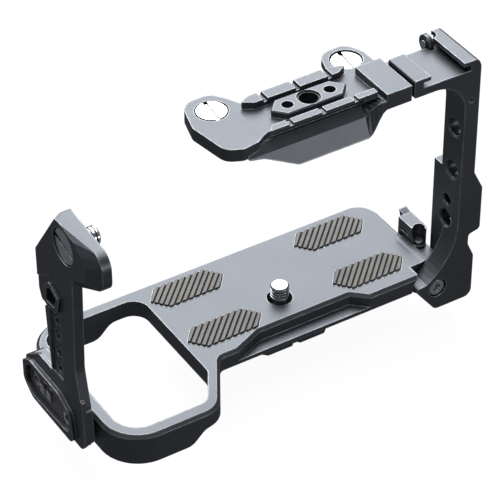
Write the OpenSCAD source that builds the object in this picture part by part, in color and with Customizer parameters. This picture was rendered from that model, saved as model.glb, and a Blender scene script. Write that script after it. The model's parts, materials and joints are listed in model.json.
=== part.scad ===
// Half cage for a compact cinema camera.
// A base plate with an open grip loop carries a fixed arm on its left and a hinged arm on its
// right. The hinged arm ends in a cold shoe. A separate top plate screws to the camera's roof.
// Millimetres, +Z up, -Y towards the lens. The origin is on the camera screw's axis, at the
// height of the base plate's upper face.

/* [Camera] */
// Clear height from the base plate to the underside of the top plate
camera_height = 77.2; // [74:0.2:80]
// How far the camera screw stands above the base plate
screw_reach = 5.5; // [4:0.5:7]

/* [Base and grip loop] */
// Thickness of the base plate
plate_thickness = 6.4; // [6:0.1:7]
// Depth of the grip loop's rail on the grip side
loop_depth = 11.5; // [10:0.5:13]
// Width of the lit bevel along the upper outer edge
edge_bevel = 1.1; // [0.6:0.1:1.2]

/* [Rubber pads] */
// How far the ribs stand above the base plate
pad_rise = 0.6; // [0.3:0.1:1]
// Distance from one rib to the next
rib_pitch = 1.8; // [1.6:0.1:2.4]

/* [Hinged arm] */
// Wall of the hinged arm's column
arm_wall = 5.6; // [5.2:0.1:6]
// Play all round the hinge lobe where it turns inside the base plate
lobe_clearance = 0.3; // [0.2:0.05:0.5]

/* [Holes] */
// Radius of the quarter inch holes, at the thread's outer diameter
quarter_inch_r = 3.175; // [3.175, 3.2, 3.25]
// Radius of the small locating holes
locating_r = 1.95; // [1.8:0.05:2.2]

/* [Build] */
// Subcomponent to draw
// Segments in a full circle
facets = 72; // [48:8:96]

/* [Hidden] */
$fn = facets;
eps = 0.01;
thread_pitch = 1.27;
running = 0.04;

// Base plate and loop
right_x = 54.4;
back_y = 29.6;
front_y = -15.7;
loop_left_x = -82.7;
loop_front_y = -37;
ledge_z = -4.8;
skirt_end_x = -56.4;
skirt_start_x = -51.3;

// Mounting foot
foot_z = -13;
foot_bore_r = 9.2;
foot_screw_spots = [[-10.2, 18.5], [10.2, 18.5], [-10.2, 1.5], [10.2, 1.5]];
tripod_y = 17.5;

// Rubber pads: centre points and half sizes
pad_half_length = 14.1;
pad_half_width = 5.4;
pad_point = 4.5;
pad_sink = 1;
pad_right_x = 33.2;
pad_left_x = -24.1;
pad_back_y = 20.5;
pad_front_y = -3.8;

// Hinge of the right arm
pivot_x = 53;
pivot_z = -6.8;
knuckle_r = 7;
lobe_r = 9.1;
lobe_back_y = -10.1;
pin_r = 2.2;
bush_r = 3.2;
arm_front_y = -17.5;
arm_inner_x = 60.1;
arm_outer_x = arm_inner_x + arm_wall;
arm_back_y = -2.4;
column_back_y = -6.7;

// Latch
latch_x = 57.2;
latch_y = 0.5;
latch_half = 2.6;
latch_floor_z = -1.4;

// Cold shoe, all heights from the camera's roof
roof = camera_height;
shoe_left_x = 39.4;
shoe_right_x = 65.2;
shoe_floor_z = roof + 3;
shoe_top_z = roof + 6.6;
shoe_centre_x = 52.3;
stop_y = 2.6;
stop_z = roof + 3.5;

// Top plate
deck_z = roof + 2.6;
ear_z = roof + 2;
rail_z = roof + 5.2;
rail_centre_x = 7.4;
rail_pitch = 12.2;
top_end_x = 38.6;
ear_left = [-20.6, 8.9];
ear_right = [31.2, 9.8];
boss_y = -4.5;
top_head_r = 5.05;

// Left arm
left_outer_x = -88.5;
block_outer_x = -90;
left_bevel_x = -85.6;
left_inner_x = -84.9;
left_wall_x = loop_left_x;
head_inner_x = -82.3;
left_screw_y = -16;
left_screw_z = 69.3;
left_head_r = 6;
port_y = -1.5;
port_z = -1.8;
knob_x = -85.1;
knob_z = -8.3;
left_bolt_spots = [[8.6, port_z], [-12, port_z - 1.6]];

// Colours
anodised = [0.17, 0.18, 0.2];
rubber = [0.55, 0.53, 0.5];
steel = [0.82, 0.83, 0.85];
brass = [0.78, 0.62, 0.36];
port_grey = [0.42, 0.42, 0.43];
black_steel = [0.12, 0.12, 0.13];

// ---------------------------------------------------------------- shared shapes

// Shape drawn in Y and Z, run along X
module along_x(x0, x1) {
  translate([x0, 0, 0]) rotate([90, 0, 90]) linear_extrude(x1 - x0) children();
}

// Shape drawn in X and Z, run along Y
module along_y(y0, y1) {
  translate([0, y1, 0]) rotate([90, 0, 0]) linear_extrude(y1 - y0) children();
}

module rod_x(x0, x1, y, z, r) {
  translate([x0, y, z]) rotate([0, 90, 0]) cylinder(h = x1 - x0, r = r);
}

module rod_y(y0, y1, x, z, r) {
  translate([x, y1, z]) rotate([90, 0, 0]) cylinder(h = y1 - y0, r = r);
}

module rod_z(z0, z1, x, y, r) {
  translate([x, y, z0]) cylinder(h = z1 - z0, r = r);
}

module block(from, to) {
  translate(from) cube(to - from);
}

// Steps in an arc: small radii take fewer
function arc_steps(r, sweep) = max(2, ceil(sweep * facets / 360 * min(1, 0.2 + r / 8)));

// Points along an arc, both ends included
function arc_points(c, r, a0, a1, n) =
  [for (k = [0:n]) c + r * [cos(a0 + (a1 - a0) * k / n), sin(a0 + (a1 - a0) * k / n)]];

// Corner geometry of an outline listed counter-clockwise as [x, y, radius]
function spot(c) = [c[0], c[1]];
function unit(v) = v / norm(v);
function to_before(corners, i) =
  unit(spot(corners[(i + len(corners) - 1) % len(corners)]) - spot(corners[i]));
function to_after(corners, i) = unit(spot(corners[(i + 1) % len(corners)]) - spot(corners[i]));
function is_convex(corners, i) = cross(-to_before(corners, i), to_after(corners, i)) > 0;

// The arc that replaces corner i, on an outline moved inwards by inset
function corner_arc(corners, i, inset) = let (
  a = to_before(corners, i),
  b = to_after(corners, i),
  half = acos(a * b) / 2,
  r = corners[i][2],
  centre = spot(corners[i]) + unit(a + b) * r / sin(half),
  start = spot(corners[i]) + a * r / tan(half) - centre,
  from = atan2(start[1], start[0]),
  sweep = 180 - 2 * half,
  side = is_convex(corners, i) ? 1 : -1
) arc_points(centre, r - side * inset, from, from + side * sweep, arc_steps(r, sweep));

function rounded(corners, inset = 0) =
  [for (i = [0:len(corners) - 1]) each corner_arc(corners, i, inset)];

// Outline with rounded corners
module soft_polygon(corners) {
  polygon(rounded(corners));
}

// Ring that cuts a bevel off the upper edge of a rounded outline whose top is at z
module bevel_ring(corners, z, size) {
  over = 0.25;
  rings = [[-over, z - size - over], [-over, z + over], [size + over, z + over]];
  n = len(rounded(corners));
  polyhedron(
    points = [for (ring = rings, p = rounded(corners, ring[0])) [p[0], p[1], ring[1]]],
    faces = [for (j = [0:2], k = [0:n - 1]) let (j1 = (j + 1) % 3 * n, k1 = (k + 1) % n)
      [j * n + k, j1 + k, j1 + k1, j * n + k1]]
  );
}

// Slab with rounded corners and a bevel along its upper edge
module bevelled_slab(corners, z0, z1, size) {
  difference() {
    translate([0, 0, z0]) linear_extrude(z1 - z0) soft_polygon(corners);
    bevel_ring(corners, z1, size);
  }
}

// Threaded shank along +Z from the origin: shallow rings at the thread's pitch
module ringed_shank(r, length) {
  turns = floor((length - 0.8) / thread_pitch);
  depth = 0.45;
  difference() {
    cylinder(h = length, r = r);
    for (i = [0:turns - 1]) translate([0, 0, length - 0.7 - thread_pitch * (i + 0.5)])
      rotate_extrude() polygon([[r - depth, -0.08], [r + 1, -0.75], [r + 1, 0.75], [r - depth, 0.08]]);
    translate([0, 0, length - 0.5]) difference() {
      cylinder(h = 1, r = r + 1);
      cylinder(h = 0.5 + eps, r1 = r, r2 = r - 0.5);
    }
  }
}

// Slotted flat head with its seat at z = 0, slot across the head along direction a
module slotted_head(r, h, slot, a) {
  difference() {
    cylinder(h = h, r = r);
    rotate([0, 0, a]) block([-r - 1, -slot / 2, h - 0.8], [r + 1, slot / 2, h + 1]);
  }
}

// Socket cap screw along +Z, head seated at z = 0 and shank pointing down
module cap_screw(r, head_r, head_h, length) {
  difference() {
    union() {
      cylinder(h = head_h, r = head_r);
      rod_z(-length, eps, 0, 0, r);
    }
    translate([0, 0, head_h - 1.2]) cylinder(h = 2, r = head_r * 0.5, $fn = 6);
  }
}

// Split ring in the XY plane, from z = 0 up
module split_ring(inner_r, outer_r, h) {
  difference() {
    cylinder(h = h, r = outer_r);
    translate([0, 0, -1]) cylinder(h = h + 2, r = inner_r);
    block([0, -0.9, -1], [outer_r + 1, 0.9, h + 1]);
  }
}

// ---------------------------------------------------------------- base plate and loop

lower_outline = [
  [right_x, back_y, 8], [loop_left_x, back_y, 14], [-82.2, loop_front_y, 14],
  [-45.9, loop_front_y, 9], [-33.1, front_y, 3], [right_x, front_y, 1.8]
];

upper_outline = [
  [right_x, back_y, 8], [loop_left_x, back_y, 14], [-82.2, loop_front_y, 14],
  [-45.9, loop_front_y, 9], [-33.1, front_y, 3], [-25.8, front_y, 1.5], [-14.8, -10.9, 1.5],
  [21, -10.9, 1.5], [26.2, front_y, 1.5], [right_x, front_y, 1.8]
];

loop_opening = [
  [-40.1, -19.5, 4], [-40.1, 25, 6], [-78, 25, 6], [-77.8, -32.2, 9], [-47.8, -32.2, 5]
];

// Side view of plate and loop: thin under the camera, deep on the grip side
rail_profile = [
  [loop_left_x - 1, -loop_depth, 0.5], [skirt_end_x, -loop_depth, 5],
  [skirt_start_x, -plate_thickness, 5], [right_x + 1, -plate_thickness, 0.5],
  [right_x + 1, 1, 0.5], [loop_left_x - 1, 1, 0.5]
];

module pad_outline(grow) {
  l = pad_half_length + grow;
  w = pad_half_width + grow;
  polygon([[-l, 0], [-l + pad_point, -w], [l - pad_point, -w], [l, 0], [l - pad_point, w], [-l + pad_point, w]]);
}

module pad_places() {
  for (x = [pad_left_x, pad_right_x], y = [pad_back_y, pad_front_y])
    translate([x, y, 0]) children();
}

module hinge_knuckle() {
  rod_y(-9.8, 6, pivot_x, pivot_z, knuckle_r);
  block([46, -9.8, pivot_z], [59.8, 6, latch_floor_z]);
}

module base_plate() {
  color(anodised) difference() {
    union() {
      difference() {
        intersection() {
          union() {
            translate([0, 0, -loop_depth]) linear_extrude(loop_depth + ledge_z) soft_polygon(lower_outline);
            bevelled_slab(upper_outline, ledge_z, 0, edge_bevel);
          }
          along_y(loop_front_y - 1, back_y + 1) soft_polygon(rail_profile);
        }
        translate([0, 0, -loop_depth - 1]) linear_extrude(loop_depth + 2) soft_polygon(loop_opening);
      }
      hinge_knuckle();
    }
    // Room for the hinge lobe at the front right corner
    rod_y(front_y - 2, lobe_back_y + 0.2, pivot_x, pivot_z, lobe_r + lobe_clearance);
    block([pivot_x, front_y - 2, -14], [right_x + 2, lobe_back_y + 0.2, 1]);
    // Floor that the latch swings over, beside the plate's right edge
    block([right_x + eps, -9.9, latch_floor_z], [66, 8, 2]);
    // Hinge pin's thread and the latch screw's thread
    rod_y(-12, 4.5, pivot_x, pivot_z, pin_r);
    rod_z(-5.2, 0, latch_x, latch_y, 1.25);
    // Camera screw's clearance hole and its retaining ring's seat
    rod_z(-20, 1, 0, 0, 4.35);
    rod_z(-plate_thickness - 1, -plate_thickness + 1.2, 0, 0, 5.4);
    pad_places() translate([0, 0, -pad_sink]) linear_extrude(3) pad_outline(0.15);
    for (s = foot_screw_spots) rod_z(-plate_thickness - 1, -2, s[0], s[1], 1.5);
    for (s = left_bolt_spots) rod_x(loop_left_x - 1, loop_left_x + 4.4, s[0], s[1], 1.5);
  }
}

// ---------------------------------------------------------------- rubber pads

// Ribbed pad about its own centre, ribs leaning towards +X and +Y
module ribbed_pad() {
  rib_count = ceil((pad_half_length + pad_half_width) / rib_pitch) + 4;
  color(rubber) difference() {
    translate([0, 0, -pad_sink]) linear_extrude(pad_sink + pad_rise) pad_outline(0);
    rotate([0, 0, 45]) for (i = [-rib_count:rib_count])
      block([-25, i * rib_pitch - 0.35, -0.1], [25, i * rib_pitch + 0.35, 2]);
  }
}

module pad_front_left() { translate([pad_left_x, pad_front_y, 0]) ribbed_pad(); }
module pad_back_left() { translate([pad_left_x, pad_back_y, 0]) ribbed_pad(); }
module pad_front_right() { translate([pad_right_x, pad_front_y, 0]) ribbed_pad(); }
module pad_back_right() { translate([pad_right_x, pad_back_y, 0]) ribbed_pad(); }

// ---------------------------------------------------------------- mounting foot

foot_outline = [
  [14.5, -7.5, 1], [14.5, 22, 1], [11, 25.5, 1], [-11, 25.5, 1], [-14.5, 22, 1],
  [-14.5, -7.5, 1], [-11.2, -10.8, 1], [-1.5, -10.8, 0.5], [-0.9, -9.9, 0.4], [0.9, -9.9, 0.4],
  [1.5, -10.8, 0.5], [11.2, -10.8, 1]
];

module mounting_foot() {
  color(anodised) difference() {
    translate([0, 0, foot_z]) linear_extrude(-plate_thickness - foot_z) soft_polygon(foot_outline);
    rod_z(foot_z - 1, -5, 0, 0, foot_bore_r);
    // Slanted flanks that a quick release clamp grips
    for (side = [-1, 1]) along_y(-30, 30)
      polygon([[side * 14.6, -10.2], [side * 13, -8.4], [side * 14.6, -8.4]]);
    for (s = foot_screw_spots) {
      rod_z(foot_z - 1, -5, s[0], s[1], 1.6);
      rod_z(foot_z - 1, foot_z + 2.2, s[0], s[1], 2.9);
    }
    rod_z(foot_z - 1, -plate_thickness - 0.6, 0, tripod_y, quarter_inch_r);
  }
}

module foot_screws() {
  color(steel) for (s = foot_screw_spots)
    translate([s[0], s[1], foot_z + 2.2]) rotate([180, 0, 0]) cap_screw(1.5, 2.75, 1.9, 7.4);
}

// ---------------------------------------------------------------- camera screw

flange_z = -plate_thickness - 2.3;
handle_z = flange_z - 1.2;

module camera_screw() {
  color(steel) difference() {
    union() {
      rod_z(flange_z, -plate_thickness - 0.3, 0, 0, 8.4);
      rod_z(-plate_thickness - 0.3 - eps, eps, 0, 0, 2.7);
      ringed_shank(quarter_inch_r, screw_reach);
      block([-2.7, -1.6, handle_z - 1.3], [2.7, 1.6, flange_z + eps]);
    }
    rod_x(-4, 4, 0, handle_z, 0.75);
  }
}

module camera_screw_ring() {
  color(steel) translate([0, 0, -plate_thickness + 0.1]) split_ring(2.95, 5.1, 0.9);
}

module camera_screw_handle() {
  wire = 0.7;
  reach = 3.8;
  color(steel) {
    for (side = [-1, 1]) {
      rod_y(0, 3, side * reach, handle_z, wire);
      translate([side * reach, 0, handle_z]) sphere(wire);
    }
    rod_x(-reach, reach, 0, handle_z, wire);
    translate([0, 3, handle_z]) rotate_extrude(angle = 180) translate([reach, 0]) circle(wire);
  }
}

// ---------------------------------------------------------------- left arm

// Seen along X: the head's full outline behind its bevel
head_outline = [
  [3.2, 57.2, 4], [-10.3, 78, 1.5], [-35.3, 75.4, 5.5], [-35.5, 63.5, 5], [-15.5, 54.5, 1],
  [-4.8, 47, 1], [2.9, 44.5, 1.5]
];

// Head's outer face inside the bevel
head_face = [
  [2.9, 56.4], [-11.2, 77], [-14, 77.2], [-22.6, 75.6], [-27.8, 73.2], [-29.8, 70],
  [-29.9, 66.1], [-27.1, 63.2], [-20.5, 59.6], [2.7, 46]
];

column_outline = [
  [-21, 62, 1], [-19.6, 22, 12], [-22.6, 8, 3], [-22.6, 2, 1], [-3.6, 2, 1], [-3.6, 12, 1],
  [-1.4, 36, 1], [-4.8, 40, 1], [-4.8, 62, 1]
];

// Base of the arm, on the outside of the loop, and the raised collar round the port
foot_plate = [
  [-24, -6.4, 3], [-22, -9.4, 3], [9, -9.4, 5], [14.8, -5, 4], [14.8, 4.4, 2.5], [5.4, 11.2, 4],
  [-23.2, 11.2, 0.5]
];

collar_outline = [
  [-18.7, -9, 2.5], [8.8, -9.1, 5], [14.5, -4.8, 4], [14.5, 3.4, 2], [9.6, 6, 4],
  [-9.6, 6, 5], [-17.4, 1.8, 5]
];

port_outline = [
  [-16.6, -6.4, 2.5], [8, -7.8, 3], [12.8, -5, 2.5], [12.8, 1.8, 2], [8.8, 4.8, 3], [-9, 4.8, 4],
  [-15.8, 0.8, 4]
];

module left_arm() {
  color(anodised) difference() {
    union() {
      along_x(left_bevel_x, head_inner_x) soft_polygon(head_outline);
      hull() {
        along_x(left_outer_x, left_outer_x + 0.2) polygon(head_face);
        along_x(left_bevel_x, left_bevel_x + 0.2) soft_polygon(head_outline);
      }
      along_x(left_outer_x, left_inner_x) soft_polygon(column_outline);
      // Tab that hangs from the head behind the column
      along_x(left_outer_x + 0.5, left_inner_x) soft_polygon([
        [-6, 54, 1], [-6, 41, 1], [-1.4, 37, 1.2], [1.4, 36.8, 1.2], [2.9, 40.5, 1.5], [2.9, 54, 1]
      ]);
      along_x(block_outer_x, left_outer_x + eps) soft_polygon(collar_outline);
      along_x(left_outer_x, left_outer_x + 1.4) soft_polygon(foot_plate);
      along_x(left_outer_x, left_inner_x) intersection() {
        soft_polygon(foot_plate);
        translate([-30, -20]) square([60, 27]);
      }
      along_x(left_inner_x - 0.5, left_wall_x - 0.02) intersection() {
        soft_polygon(foot_plate);
        translate([-17, -20]) square([40, 27]);
      }
      along_x(left_outer_x, left_wall_x - 0.02) polygon([[-17, 4], [-1.5, 4], [-3, 8], [-17, 8]]);
    }
    // Lowered strip down the column with a row of small holes
    along_x(left_outer_x - 1, left_outer_x + 0.7)
      polygon([[-11.4, 12], [-4, 12], [-4, 37], [-11.4, 40]]);
    // Space behind the strap bar
    along_x(left_outer_x - 1, left_outer_x + 2.3)
      polygon([[-11.9, 46], [-10.4, 41], [-4.6, 40.7], [-4.7, 46.2], [-7, 48.6]]);
    for (i = [0:3]) rod_x(left_outer_x - 1, left_inner_x + 1, -7.9, 15 + 6.6 * i, 1.9);
    // Seat of the side screw
    rod_x(left_outer_x - 1, left_outer_x + 2.4, left_screw_y, left_screw_z, left_head_r + 0.35);
    rod_x(left_outer_x - 1, head_inner_x + 1, left_screw_y, left_screw_z, 3.4);
    rod_x(head_inner_x - 1.3, head_inner_x + 1, left_screw_y, left_screw_z, 5.3);
    // Port pocket, bolt holes and the lock knob's hole
    along_x(block_outer_x - 1, block_outer_x + 3) soft_polygon(port_outline);
    for (s = left_bolt_spots) rod_x(block_outer_x, left_wall_x + 1, s[0], s[1], 1.7);
    rod_y(-25, -17.7, knob_x, knob_z, 2.5);
    rod_y(-25, -12, knob_x, knob_z, 1.2);
    strap_ring();
  }
}

module left_arm_bolts() {
  color(steel) for (s = left_bolt_spots)
    translate([block_outer_x + 3, s[0], s[1]]) rotate([0, -90, 0]) cap_screw(1.5, 2.6, 1.3, 8);
}

lug_spots = [2.8, -1.2];

module port_insert() {
  color(port_grey) difference() {
    along_x(block_outer_x + 1.6, block_outer_x + 3) soft_polygon([
      for (c = port_outline) [port_y + (c[0] - port_y) * 0.985, port_z + (c[1] - port_z) * 0.97, c[2]]
    ]);
    for (s = left_bolt_spots) rod_x(block_outer_x, left_wall_x, s[0], s[1], 2.75);
    for (y = lug_spots) along_x(block_outer_x, left_wall_x)
      polygon([[y - 1.6, -3.4], [y + 1.6, -3.4], [y + 1.6, 0.2], [y - 1.6, 0.2]]);
  }
}

module port_lugs() {
  color(steel) for (y = lug_spots) along_x(block_outer_x + 0.7, block_outer_x + 3)
    polygon([[y - 1.5, -3.3], [y + 1.5, -3.3], [y + 1.5, 0.1], [y - 0.4, 0.1], [y - 1.5, -1]]);
}

module port_lock_knob() {
  color(steel) difference() {
    union() {
      rod_y(-20.1, -17.8, knob_x, knob_z, 2.3);
      rod_y(-17.8 - eps, -13, knob_x, knob_z, 1.16);
    }
    for (a = [0:30:330]) translate([knob_x, -19.4, knob_z]) rotate([0, a, 0])
      block([2.05, -3, -0.2], [3, 3, 0.2]);
    block([knob_x - 3, -22, knob_z - 0.4], [knob_x + 3, -19.6, knob_z + 0.4]);
  }
}

module left_screw() {
  color(steel) translate([left_outer_x + 2.4, left_screw_y, left_screw_z]) {
    rotate([0, -90, 0]) slotted_head(left_head_r, 1.9, 1.5, 75);
    rotate([0, 90, 0]) cylinder(h = 4.3, r = 2.75);
    translate([4.2, 0, 0]) rotate([0, 90, 0]) ringed_shank(quarter_inch_r, 5.2);
  }
}

module left_screw_ring() {
  color(steel) translate([head_inner_x - 1.2, left_screw_y, left_screw_z]) rotate([0, 90, 0])
    split_ring(3.25, 4.9, 0.9);
}

// Flat loop for a camera strap, let into the head's lower corner
module strap_ring() {
  difference() {
    along_x(left_outer_x - 1.1, left_outer_x + 1.3) soft_polygon([
      [-13.2, 46.2, 1.2], [-11.4, 40, 1.4], [-3.2, 39.4, 1.6], [-3.4, 46.4, 1.6], [-6.8, 50, 1.4]
    ]);
    along_x(left_outer_x - 2, left_outer_x + 2) soft_polygon([
      [-11.5, 45.7, 0.6], [-10.1, 41.6, 0.6], [-4.8, 41.1, 0.6], [-5, 45.8, 0.6], [-7.1, 48, 0.6]
    ]);
  }
}

module strap_bar() {
  color(anodised) strap_ring();
}

// ---------------------------------------------------------------- right arm

arm_foot_outline = [
  [47.6, -3.8, 0.4], [44.3, -4.2, 0.5], [44.6, -5.9, 0.5], [52.2, -15.7, 3], [67.4, -15.7, 3],
  [67.4, 1.8, 1.5], [arm_outer_x - 0.9, 7.6, 1.5], [arm_outer_x - 0.9, 11.6, 1.2], [69.4, 12.6, 1.5],
  [69.4, 30, 1], [arm_outer_x, 37.5, 0.5], [arm_outer_x, 70, 0.5], [arm_inner_x, 70, 0.5],
  [arm_inner_x, -4, 0.1]
];

ramp_r = 26;
ramp_centre = [arm_inner_x - ramp_r, 18];

// Ramp between the column and the hinge lobe, hollowed by one large arc
module ramp_profile() {
  polygon(concat(
    arc_points(ramp_centre, ramp_r, -56.5, 0, arc_steps(ramp_r, 56.5)),
    [[arm_inner_x + 1, 18], [arm_inner_x + 1, -6], [47.6, -6]]
  ));
}

shoe_outline = [
  [shoe_left_x, roof, 0.6], [arm_outer_x, roof, 0.6], [arm_outer_x, shoe_top_z - 3, 1],
  [shoe_right_x - 0.6, shoe_top_z, 2], [shoe_left_x, shoe_top_z, 0.8]
];

module shoe_slot() {
  polygon([
    [shoe_centre_x - 6.6, shoe_top_z + 1], [shoe_centre_x - 6.6, shoe_floor_z + 2.1],
    [shoe_centre_x - 9.3, shoe_floor_z + 2.1], [shoe_centre_x - 9.3, shoe_floor_z],
    [shoe_centre_x + 9.3, shoe_floor_z], [shoe_centre_x + 9.3, shoe_floor_z + 2.1],
    [shoe_centre_x + 6.6, shoe_floor_z + 2.1], [shoe_centre_x + 6.6, shoe_top_z + 1]
  ]);
}

// Hole in the column's wall with a shallow countersink on the camera's side
module column_hole(y, z, r) {
  rod_x(arm_inner_x - 1, 80, y, z, r);
  translate([arm_inner_x - eps, y, z]) rotate([0, 90, 0]) cylinder(h = 0.6, r1 = r + 0.6, r2 = r);
}

module right_arm() {
  fillet = 12.6;
  color(anodised) difference() {
    union() {
      along_y(arm_front_y, lobe_back_y) {
        soft_polygon(arm_foot_outline);
        ramp_profile();
      }
      // Column, wide low down and narrow above
      along_y(arm_front_y, arm_back_y) intersection() {
        soft_polygon(arm_foot_outline);
        polygon([[arm_inner_x, -20], [80, -20], [80, 36.5], [arm_inner_x, 36.5]]);
      }
      along_y(arm_front_y, column_back_y)
        polygon([[arm_inner_x, 30], [arm_outer_x, 30], [arm_outer_x, roof + 1], [arm_inner_x, roof + 1]]);
      along_y(arm_front_y, 1) soft_polygon(shoe_outline);
      // Right rail runs further back than the left
      along_y(-5, 4) intersection() {
        soft_polygon(shoe_outline);
        translate([shoe_centre_x + 6.6, roof]) square(20);
      }
      along_y(arm_front_y, column_back_y) polygon(concat(
        arc_points([arm_inner_x - fillet, roof - fillet], fillet, 90, 0, arc_steps(fillet, 90)),
        [[arm_inner_x + 1, roof - fillet], [arm_inner_x + 1, roof + 0.5], [arm_inner_x - fillet, roof + 0.5]]
      ));
    }
    along_y(-20, 10) shoe_slot();
    block([38, -2.4, shoe_floor_z], [shoe_centre_x - 6.6, 10, shoe_top_z + 1]);
    // Slot for the round stop, and a thumb relief beside it in the right rail
    block([56.8, stop_y - 3.6, roof - 1], [shoe_centre_x + 6.6, 10, shoe_top_z + 1]);
    rod_z(shoe_floor_z + 0.5, shoe_top_z + 1, shoe_centre_x + 6.4, stop_y, 2.4);
    // Groove that the top plate's tongue slides into
    block([38, -13.2, roof + 1], [shoe_left_x + 2.4, -0.6, roof + 3.4]);
    column_hole(-12.1, 54.9, quarter_inch_r);
    column_hole(-12.1, 37.6, quarter_inch_r);
    column_hole(-10.2, 23.8, locating_r);
    column_hole(-10.2, 15.8, quarter_inch_r);
    column_hole(-10.2, 7.8, locating_r);
    // Hinge bore with its bush, and the pivot screw's head seat
    rod_y(arm_front_y + 2, -9, pivot_x, pivot_z, bush_r);
    rod_y(arm_front_y - 1, arm_front_y + 2.6, pivot_x, pivot_z, 3.5);
    rod_y(arm_front_y - 1, arm_front_y + 5, 62.6, 68, 1);
    rod_x(58.5, shoe_right_x - 1, stop_y, stop_z, 0.8);
  }
}

module pivot_bush() {
  color(brass) difference() {
    rod_y(arm_front_y + 2.6, lobe_back_y, pivot_x, pivot_z, bush_r);
    rod_y(-20, 0, pivot_x, pivot_z, pin_r + running);
  }
}

module pivot_screw() {
  color(steel) difference() {
    union() {
      rod_y(arm_front_y + 0.5, arm_front_y + 2.5, pivot_x, pivot_z, 2.95);
      rod_y(arm_front_y + 2.5 - eps, 4.4, pivot_x, pivot_z, pin_r);
    }
    rod_y(arm_front_y - 1, arm_front_y + 1.9, pivot_x, pivot_z, 1.45);
  }
}

module shoe_grub_screw() {
  color(steel) difference() {
    rod_y(arm_front_y + 0.4, arm_front_y + 4.6, 62.6, 68, 1);
    rod_y(arm_front_y - 1, arm_front_y + 1.4, 62.6, 68, 0.5);
  }
}

module shoe_stop() {
  color(anodised) difference() {
    rod_x(57.2, 58.8, stop_y, stop_z, 3.2);
    rod_x(54, 62, stop_y, stop_z, 0.84);
  }
}

module shoe_stop_pin() {
  color(steel) {
    rod_x(56.9, shoe_right_x - 1.1, stop_y, stop_z, 0.8);
    rod_x(56.5, 57.1, stop_y, stop_z, 1.4);
  }
}

// ---------------------------------------------------------------- latch

latch_top_z = 6;

module latch_lever() {
  color(anodised) difference() {
    union() {
      rod_z(latch_floor_z + 0.15, latch_top_z, latch_x, latch_y, latch_half);
      block([latch_x - latch_half, latch_y, latch_floor_z + 0.15], [latch_x + latch_half, 9.2, latch_top_z]);
      along_x(latch_x - 0.4, latch_x + latch_half)
        polygon([[9.1, 1], [11.2, 3.6], [12.2, latch_top_z + 0.6], [9.1, latch_top_z - 0.4]]);
    }
    // Finger scoop that leaves a thin wall on the outer side
    along_x(latch_x - latch_half - 1, latch_x + latch_half - 1.1) difference() {
      polygon([[-4, -0.4], [1.4, -0.4], [1.4, 7], [-4, 7]]);
      translate([6.6, latch_top_z - 6.4]) circle(6.4);
    }
    // Screw hole with a deep seat for the screw's head
    rod_z(-3, 8, latch_x, latch_y, 1.54);
    rod_z(-0.4, 8, latch_x, latch_y, 2);
    // Long slot low on the side that faces the plate
    block([latch_x - latch_half - 1, 3.2, 1.6], [latch_x - latch_half + 0.6, 8, 2.8]);
  }
}

module latch_screw() {
  color(steel) {
    rod_z(-5, latch_floor_z + 0.15, latch_x, latch_y, 1.25);
    rod_z(latch_floor_z + 0.15 - eps, -0.2, latch_x, latch_y, 1.5);
    rod_z(-0.3, 0.9, latch_x, latch_y, 1.9);
  }
}

module latch_washer() {
  color(steel) difference() {
    rod_z(latch_floor_z, latch_floor_z + 0.12, latch_x, latch_y, 2.4);
    rod_z(-3, 0, latch_x, latch_y, 1.6);
  }
}

// ---------------------------------------------------------------- top plate

deck_outline = [
  [top_end_x, -17.2, 0.5], [top_end_x, 4.5, 1], [38.4, 10.5, 3], [35.4, 17.6, 5], [25, 16.4, 5],
  [22.4, 8, 2], [18, 6, 2], [-10.5, 6, 2], [-13.5, 11.5, 2], [-16.2, 17.2, 4], [-27, 17, 6],
  [-30.6, 4, 4], [-28, -11.5, 5], [-22.5, -14, 3], [-17, -13.2, 2], [-12, -11, 2],
  [27.8, -11, 1], [28.8, -17.2, 0.5]
];

// Front skirt seen from the front, hanging below the roof line
skirt_outline = [
  [-21, roof + 0.4, 0.3], [-21, roof - 3, 0.3], [-15.6, roof - 3.9, 6], [-4.1, roof - 9.2, 4],
  [22.7, roof - 9.2, 0.3], [22.7, roof + 0.4, 0.3]
];

boss_outline = [
  [-7, boss_y, 0.7], [-2.9, boss_y - 4.3, 0.7], [17.7, boss_y - 4.3, 0.7],
  [21.8, boss_y, 0.7], [17.7, boss_y + 4.3, 0.7], [-2.9, boss_y + 4.3, 0.7]
];

// Where the skirt sweeps up and forward into the front of the raised block, t from 0 to 1
sweep_steps = 5;
function sweep_x(t) = 22.6 + 6.5 * t;
function sweep_low(t) = roof - 9.2 + 8.7 * t * t * (3 - 2 * t);
function sweep_high(t) = roof - 2.9 + 5.8 * (1 - (1 - t) * (1 - t));
function sweep_y(t) = -14.6 - 2.6 * t * t * (3 - 2 * t);

module sweep_slice(t) {
  along_x(sweep_x(t), sweep_x(t) + 0.02) polygon([
    [sweep_y(t), sweep_high(t)], [-17.2, sweep_low(t)], [-15.1, sweep_low(t)],
    [-9.2, roof - 0.1], [-9, roof + 0.5]
  ]);
}

module skirt_sweep() {
  for (i = [0:sweep_steps - 1]) hull() {
    sweep_slice(i / sweep_steps);
    sweep_slice((i + 1) / sweep_steps);
  }
}

module rail_notches(y0, y1) {
  for (i = [-1:1]) translate([rail_centre_x + i * rail_pitch, 0, rail_z])
    along_y(y0, y1) polygon([[-1.1, 1], [-0.6, -1.2], [0.6, -1.2], [1.1, 1]]);
}

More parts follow.
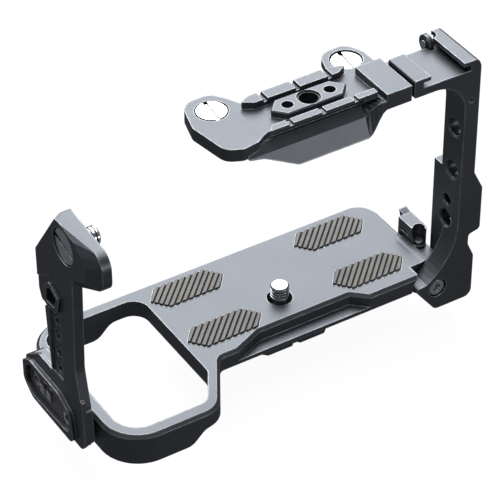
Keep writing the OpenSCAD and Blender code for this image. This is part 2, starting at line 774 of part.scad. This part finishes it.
module top_plate() {
  color(anodised) difference() {
    union() {
      difference() {
        translate([0, 0, roof]) linear_extrude(deck_z - roof) soft_polygon(deck_outline);
        // Lower deck under the left ear, with a short ramp up to the rails
        along_y(-30, 30) polygon([[-40, ear_z], [-16.6, ear_z], [-14, deck_z + eps], [-40, deck_z + 1]]);
      }
      // Accessory rails and centre boss
      translate([0, 0, deck_z - eps]) linear_extrude(rail_z - 0.3 - deck_z) soft_polygon([
        [-13.2, -13.7, 0.4], [27.8, -13.7, 0.4], [27.8, -11, 0.4], [-10.5, -11, 0.4]
      ]);
      translate([0, 0, deck_z - eps]) linear_extrude(rail_z - deck_z) soft_polygon([
        [-12.7, 4.3, 0.4], [-9, 1.7, 3], [23, 1.7, 3], [27, 4.1, 0.4], [22, 6, 1], [-9, 6, 3]
      ]);
      bevelled_slab(boss_outline, deck_z - 0.2, rail_z - 0.1, 0.4);
      // Raised block at the right end, with a front lip below the roof line, and its tongue
      block([28.9, -17.2, roof], [top_end_x, 1.2, rail_z + 0.2]);
      block([28.9, -17.2, roof - 0.5], [top_end_x, -10.9, roof + eps]);
      skirt_sweep();
      block([top_end_x - 1, -12.4, roof + 1.5], [top_end_x + 2, -1.4, roof + 2.9]);
      // Front skirt with a slanted outer face
      intersection() {
        along_y(-30, 0) soft_polygon(skirt_outline);
        along_x(-40, 40) polygon([
          [-9, roof + 0.5], [-11.6, roof + 0.7], [-14.4, roof - 2.6], [-17.3, roof - 9.2],
          [-15.2, roof - 9.2], [-12.3, roof - 2.6], [-9.2, roof]
        ]);
      }
      translate([0, 0, roof - 2.6]) linear_extrude(3) intersection() {
        soft_polygon(deck_outline);
        polygon([[-40, -30], [-16.4, -30], [-16.4, 30], [-40, 30]]);
      }
    }
    // Undercut below the front rail
    along_x(-12, 22.6) polygon([
      [-20, roof - 2.5], [-14.4, roof - 2.5], [-11.6, roof + 0.8], [-11.6, roof + 2],
      [-13.7, roof + 3.8], [-20, roof + 3.8]
    ]);
    rail_notches(-20, -9.6);
    rail_notches(1, 7);
    for (ear = [ear_left, ear_right]) {
      rod_z(roof + 0.9, 100, ear[0], ear[1], top_head_r + 0.45);
      rod_z(50, 100, ear[0], ear[1], 3.4);
      rod_z(50, roof + 0.3, ear[0], ear[1], 5.3);
    }
    rod_z(50, 100, rail_centre_x, boss_y, 3.9);
    for (side = [-1, 1]) rod_z(roof + 1, 100, rail_centre_x + side * 8, boss_y, locating_r);
  }
}

module top_insert() {
  color(black_steel) difference() {
    rod_z(roof, rail_z - 0.6, rail_centre_x, boss_y, 3.9);
    rod_z(50, 100, rail_centre_x, boss_y, quarter_inch_r);
  }
}

module top_screw(ear) {
  color(steel) translate([ear[0], ear[1], roof + 0.95]) {
    slotted_head(top_head_r, 1.2, 1.5, 84);
    translate([0, 0, -2]) cylinder(h = 2 + eps, r = 2.75);
    rotate([180, 0, 0]) translate([0, 0, 1.9]) ringed_shank(quarter_inch_r, 5.4);
  }
}

module top_screw_left() { top_screw(ear_left); }
module top_screw_right() { top_screw(ear_right); }

module top_screw_rings() {
  color(steel) for (ear = [ear_left, ear_right])
    translate([ear[0], ear[1], roof - 0.7]) split_ring(3.25, 5, 0.9);
}

// ---------------------------------------------------------------- what is drawn

base_plate();
pad_front_left();
pad_back_left();
pad_front_right();
pad_back_right();
mounting_foot();
foot_screws();
camera_screw();
camera_screw_ring();
camera_screw_handle();
left_arm();
left_arm_bolts();
left_screw();
left_screw_ring();
strap_bar();
port_insert();
port_lugs();
port_lock_knob();
right_arm();
pivot_screw();
pivot_bush();
latch_lever();
latch_screw();
latch_washer();
shoe_stop();
shoe_stop_pin();
shoe_grub_screw();
top_plate();
top_screw_left();
top_screw_right();
top_screw_rings();
top_insert();
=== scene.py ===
"""Looks for a cinema camera's half cage: finishes, studio light, floor and camera."""

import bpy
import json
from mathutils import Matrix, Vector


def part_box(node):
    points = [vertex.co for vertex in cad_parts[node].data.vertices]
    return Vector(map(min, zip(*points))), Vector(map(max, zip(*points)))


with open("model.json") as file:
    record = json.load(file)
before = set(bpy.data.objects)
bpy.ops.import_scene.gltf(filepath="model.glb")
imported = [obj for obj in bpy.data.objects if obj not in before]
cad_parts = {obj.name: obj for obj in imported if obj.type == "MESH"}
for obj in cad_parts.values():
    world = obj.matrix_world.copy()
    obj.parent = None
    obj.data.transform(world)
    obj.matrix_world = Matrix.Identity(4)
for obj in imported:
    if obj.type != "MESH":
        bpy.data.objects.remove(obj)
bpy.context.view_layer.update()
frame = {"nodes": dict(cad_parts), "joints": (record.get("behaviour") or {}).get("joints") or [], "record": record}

import json
import math

import bpy
from mathutils import Matrix, Vector

MM = 0.001
NODES = frame["nodes"]


# ---------------------------------------------------------------- node helpers

class Shader:
    """Small builder for one node material."""

    def __init__(self, name):
        self.mat = bpy.data.materials.new(name)
        self.mat.use_nodes = True
        self.tree = self.mat.node_tree
        self.tree.nodes.clear()
        self.out = self.node("ShaderNodeOutputMaterial")
        self.bsdf = self.node("ShaderNodeBsdfPrincipled")
        self.link(self.bsdf.outputs["BSDF"], self.out.inputs["Surface"])
        self.coords = self.node("ShaderNodeTexCoord").outputs["Object"]

    def node(self, kind, **values):
        n = self.tree.nodes.new(kind)
        for key, value in values.items():
            setattr(n, key, value)
        return n

    def link(self, a, b):
        self.tree.links.new(a, b)

    def put(self, socket, value):
        if hasattr(value, "links"):
            self.link(value, socket)
        else:
            socket.default_value = value

    def math(self, op, a, b=0.0, clamp=False):
        n = self.node("ShaderNodeMath", operation=op, use_clamp=clamp)
        self.put(n.inputs[0], a)
        self.put(n.inputs[1], b)
        return n.outputs[0]

    def scaled(self, scale):
        n = self.node("ShaderNodeMapping")
        self.link(self.coords, n.inputs["Vector"])
        n.inputs["Scale"].default_value = scale
        return n.outputs["Vector"]

    def noise(self, scale, detail=2.0, rough=0.5, stretch=None):
        n = self.node("ShaderNodeTexNoise")
        self.link(self.scaled(stretch) if stretch else self.coords, n.inputs["Vector"])
        n.inputs["Scale"].default_value = scale
        n.inputs["Detail"].default_value = detail
        n.inputs["Roughness"].default_value = rough
        return n.outputs["Fac"]

    def spread(self, fac, low, high, src=(0.3, 0.7)):
        n = self.node("ShaderNodeMapRange")
        self.link(fac, n.inputs["Value"])
        for key, value in zip(("From Min", "From Max", "To Min", "To Max"), (*src, low, high)):
            n.inputs[key].default_value = value
        return n.outputs["Result"]

    def mix(self, fac, a, b):
        n = self.node("ShaderNodeMix", data_type="RGBA")
        self.put(n.inputs["Factor"], fac)
        self.put(n.inputs[6], a)
        self.put(n.inputs[7], b)
        return n.outputs[2]

    def bump(self, height, strength, distance, normal=None):
        n = self.node("ShaderNodeBump")
        self.link(height, n.inputs["Height"])
        n.inputs["Strength"].default_value = strength
        n.inputs["Distance"].default_value = distance
        if normal is not None:
            self.link(normal, n.inputs["Normal"])
        return n.outputs["Normal"]

    def soft_edge(self, radius):
        n = self.node("ShaderNodeBevel")
        n.samples = 6
        n.inputs["Radius"].default_value = radius
        return n.outputs["Normal"]

    def edge_mask(self, radius, low=0.01, high=0.13):
        """1 along sharp edges, 0 on open faces; the mask for painted edge highlights."""
        geo = self.node("ShaderNodeNewGeometry").outputs["Normal"]
        dot = self.node("ShaderNodeVectorMath", operation="DOT_PRODUCT")
        self.link(self.soft_edge(radius), dot.inputs[0])
        self.link(geo, dot.inputs[1])
        lost = self.math("SUBTRACT", 1.0, dot.outputs["Value"])
        return self.spread(lost, 0.0, 1.0, (low, high))

    def painted_shade_mask(self, reach, low, high):
        """1 deep in slots and corners, 0 in the open; the mask for painted shade."""
        n = self.node("ShaderNodeAmbientOcclusion", samples=8)
        n.inputs["Distance"].default_value = reach
        return self.spread(n.outputs["AO"], 1.0, 0.0, (low, high))

    def finish(self, color, metallic, roughness, normal, **extra):
        self.put(self.bsdf.inputs["Base Color"], color)
        self.put(self.bsdf.inputs["Metallic"], metallic)
        self.put(self.bsdf.inputs["Roughness"], roughness)
        self.link(normal, self.bsdf.inputs["Normal"])
        for key, value in extra.items():
            self.put(self.bsdf.inputs[key.replace("_", " ")], value)
        return self.mat


def anodised_material():
    s = Shader("anodised_satin")
    grain = s.noise(3600, 3, 0.6)
    cloud = s.noise(55, 3, 0.5)
    edge = s.edge_mask(0.75 * MM, 0.008, 0.1)
    # Painted highlight: lighter colour along sharp edges, broken up by noise, standing in for edges that catch the
    # light
    painted_edge_highlight = s.math("MULTIPLY", edge, s.spread(s.noise(420, 3), 0.35, 1.0), clamp=True)
    tone = s.mix(s.spread(cloud, 0.0, 1.0), (0.098, 0.105, 0.118, 1), (0.112, 0.119, 0.132, 1))
    speck = s.mix(s.spread(grain, 0.0, 1.0), tone, (0.135, 0.142, 0.155, 1))
    # Painted shade: near-black colour mixed in deep in slots and corners
    hollow = s.math("MULTIPLY", s.painted_shade_mask(1.6 * MM, 0.35, 0.8), 0.75)
    tone_with_painted_shade = s.mix(hollow, speck, (0.02, 0.021, 0.024, 1))
    color = s.mix(s.math("MULTIPLY", painted_edge_highlight, 0.85), tone_with_painted_shade, (0.55, 0.56, 0.58, 1))
    rough = s.math("ADD", s.spread(cloud, 0.35, 0.41), s.math("MULTIPLY", grain, 0.06))
    normal = s.bump(grain, 0.22, 0.04 * MM, s.soft_edge(0.3 * MM))
    return s.finish(color, 0.82, rough, normal, Specular_IOR_Level=0.5)


def steel_material():
    s = Shader("turned_steel")
    lathe = s.noise(900, 2, 0.5, (1.0, 1.0, 5.0))
    scuff = s.noise(120, 3, 0.5)
    edge = s.edge_mask(0.2 * MM)
    tone = s.mix(s.spread(scuff, 0.0, 1.0), (0.74, 0.75, 0.77, 1), (0.86, 0.87, 0.88, 1))
    # Painted shade: dark colour mixed in deep in slots and corners
    tone_with_painted_shade = s.mix(s.painted_shade_mask(1.0 * MM, 0.4, 0.85), tone, (0.10, 0.10, 0.11, 1))
    # Painted highlight: near-white colour along sharp edges
    color = s.mix(s.math("MULTIPLY", edge, 0.6), tone_with_painted_shade, (0.95, 0.95, 0.96, 1))
    rough = s.spread(scuff, 0.2, 0.27)
    normal = s.bump(lathe, 0.03, 0.01 * MM, s.soft_edge(0.15 * MM))
    return s.finish(color, 1.0, rough, normal)


def black_steel_material():
    s = Shader("black_steel")
    grain = s.noise(1800, 3, 0.6)
    edge = s.edge_mask(0.2 * MM)
    tone = s.mix(s.spread(grain, 0.0, 1.0), (0.03, 0.03, 0.032, 1), (0.05, 0.05, 0.053, 1))
    # Painted highlight: lighter grey along sharp edges
    color = s.mix(s.math("MULTIPLY", edge, 0.5), tone, (0.25, 0.25, 0.26, 1))
    normal = s.bump(grain, 0.15, 0.03 * MM, s.soft_edge(0.15 * MM))
    return s.finish(color, 0.7, s.spread(grain, 0.3, 0.42), normal)


def rubber_material():
    s = Shader("ribbed_rubber")
    grain = s.noise(2600, 3, 0.6)
    dust = s.noise(190, 3, 0.5)
    split = s.node("ShaderNodeSeparateXYZ")
    s.link(s.coords, split.inputs[0])
    # Ribs stand above the base plate's upper face, which is at height 0. Below the crests, in the grooves, the
    # colour is near black: painted shade.
    crest_over_painted_groove_shade = s.spread(split.outputs["Z"], 0.0, 1.0, (0.1 * MM, 0.5 * MM))
    tone = s.mix(s.spread(dust, 0.0, 1.0), (0.185, 0.175, 0.165, 1), (0.225, 0.215, 0.20, 1))
    color = s.mix(crest_over_painted_groove_shade, (0.015, 0.015, 0.016, 1), tone)
    normal = s.bump(grain, 0.5, 0.06 * MM, s.soft_edge(0.1 * MM))
    return s.finish(color, 0.0, s.spread(grain, 0.62, 0.8), normal)


def brass_material():
    s = Shader("turned_brass")
    lathe = s.noise(700, 2, 0.5, (1.0, 6.0, 1.0))
    color = s.mix(lathe, (0.66, 0.48, 0.22, 1), (0.80, 0.62, 0.34, 1))
    normal = s.bump(lathe, 0.1, 0.03 * MM, s.soft_edge(0.12 * MM))
    return s.finish(color, 1.0, s.spread(lathe, 0.22, 0.36), normal)


def port_material():
    s = Shader("port_grey")
    grain = s.noise(3000, 3, 0.6)
    edge = s.edge_mask(0.2 * MM)
    tone = s.mix(s.spread(grain, 0.0, 1.0), (0.15, 0.14, 0.14, 1), (0.20, 0.19, 0.185, 1))
    # Painted highlight: lighter grey along sharp edges
    color = s.mix(s.math("MULTIPLY", edge, 0.6), tone, (0.4, 0.4, 0.41, 1))
    normal = s.bump(grain, 0.25, 0.04 * MM, s.soft_edge(0.15 * MM))
    return s.finish(color, 0.5, s.spread(grain, 0.4, 0.5), normal)


MATERIALS = {
    "anodised": anodised_material(),
    "steel": steel_material(),
    "black_steel": black_steel_material(),
    "rubber": rubber_material(),
    "brass": brass_material(),
    "port_grey": port_material(),
}


def dress(obj, mat):
    for slot in obj.material_slots:
        slot.material = mat
    if not obj.material_slots:
        obj.data.materials.append(mat)


for part in frame["record"]["subparts"]:
    dress(NODES[part["node"]], MATERIALS[part["material_slot"]])


# ---------------------------------------------------------------- floor

FLOOR_HALF = 12
FLOOR_GAP = 1 * MM


def floor_material():
    """Mostly its own glow, so that only a faint shadow falls on it."""
    s = Shader("studio_floor")
    cloud = s.noise(3, 2, 0.5)
    glow = s.mix(s.spread(cloud, 0.0, 1.0), (0.93, 0.93, 0.935, 1), (0.96, 0.96, 0.96, 1))
    return s.finish((0.08, 0.08, 0.08, 1), 0.0, 0.9, s.bump(cloud, 0.02, 0.5 * MM),
                    Specular_IOR_Level=0.0, Emission_Color=glow, Emission_Strength=1.0)


def add_floor(z):
    """Square sheet at height z that the object neither reflects nor takes light from."""
    corners = [(-1, -1), (1, -1), (1, 1), (-1, 1)]
    mesh = bpy.data.meshes.new("floor")
    mesh.from_pydata([(x * FLOOR_HALF, y * FLOOR_HALF, z) for x, y in corners], [], [(0, 1, 2, 3)])
    floor = bpy.data.objects.new("floor", mesh)
    bpy.context.collection.objects.link(floor)
    mesh.materials.append(floor_material())
    floor.visible_glossy = False
    floor.visible_diffuse = False


# Low enough for the hinged arm when it lies open
arm_hinge = next(j for j in frame["joints"] if j["name"] == "arm_swing")["pos_m"]
arm_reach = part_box("right_arm")[1][0] - arm_hinge[0]
add_floor(arm_hinge[2] - arm_reach - FLOOR_GAP)


# ---------------------------------------------------------------- light and camera

def soft_box(name, spot, target, size, watts, tint=(1, 1, 1)):
    """Rectangular lamp at spot, turned to face target."""
    light = bpy.data.lights.new(name, "AREA")
    light.shape = "RECTANGLE"
    light.size, light.size_y = size
    light.energy = watts
    light.color = tint
    obj = bpy.data.objects.new(name, light)
    obj.location = spot
    obj.rotation_mode = "QUATERNION"
    obj.rotation_quaternion = (Vector(target) - Vector(spot)).to_track_quat("-Z", "Y")
    bpy.context.collection.objects.link(obj)


# The sky box stands where the plates' upper faces mirror it into the camera
COOL = (0.97, 0.985, 1.0)
soft_box("sky_box", (0.25, 0.85, 0.9), (0, 0, 0), (1.5, 1.2), 26, (0.965, 0.985, 1.0))
soft_box("top_box", (0.0, 0.0, 1.3), (0, 0, 0), (0.9, 0.9), 9)
soft_box("left_strip", (-1.2, -0.3, 0.35), (0, 0, 0.03), (0.25, 0.7), 1.0, COOL)
soft_box("front_low", (0.6, -1.25, 0.1), (0, 0, 0.05), (0.8, 0.35), 3.6, COOL)

BACKDROP = (1, 1, 1, 1)
AMBIENT = (0.095, 0.1, 0.11, 1)


def add_world():
    """White to the camera, dim to everything else."""
    world = bpy.data.worlds.new("studio")
    bpy.context.scene.world = world
    world.use_nodes = True
    nodes, links = world.node_tree.nodes, world.node_tree.links
    nodes.clear()
    out = nodes.new("ShaderNodeOutputWorld")
    mix = nodes.new("ShaderNodeMixShader")
    path = nodes.new("ShaderNodeLightPath")
    links.new(path.outputs["Is Camera Ray"], mix.inputs[0])
    for socket, color in ((1, AMBIENT), (2, BACKDROP)):
        light = nodes.new("ShaderNodeBackground")
        light.inputs["Color"].default_value = color
        links.new(light.outputs[0], mix.inputs[socket])
    links.new(mix.outputs[0], out.inputs["Surface"])


CAMERA_AZIMUTH = math.radians(-31.94)
CAMERA_ELEVATION = math.radians(38.41)
CAMERA_SPOT = (-0.37185, -0.57764, 0.56492)
LENS_MM = 190.15
SENSOR_MM = 36


def add_camera():
    """Long lens from the front left, looking down."""
    flat = math.cos(CAMERA_ELEVATION)
    back = Vector((math.sin(CAMERA_AZIMUTH) * flat, -math.cos(CAMERA_AZIMUTH) * flat,
                   math.sin(CAMERA_ELEVATION)))
    right = Vector((math.cos(CAMERA_AZIMUTH), math.sin(CAMERA_AZIMUTH), 0))
    turn = Matrix((right, back.cross(right), back)).transposed().to_4x4()
    cam = bpy.data.objects.new("camera", bpy.data.cameras.new("camera"))
    bpy.context.collection.objects.link(cam)
    cam.matrix_world = Matrix.Translation(CAMERA_SPOT) @ turn
    cam.data.sensor_width = SENSOR_MM
    cam.data.lens = LENS_MM
    cam.data.clip_start = 0.01
    bpy.context.scene.camera = cam


add_world()
add_camera()
bpy.context.scene.view_settings.view_transform = "Standard"
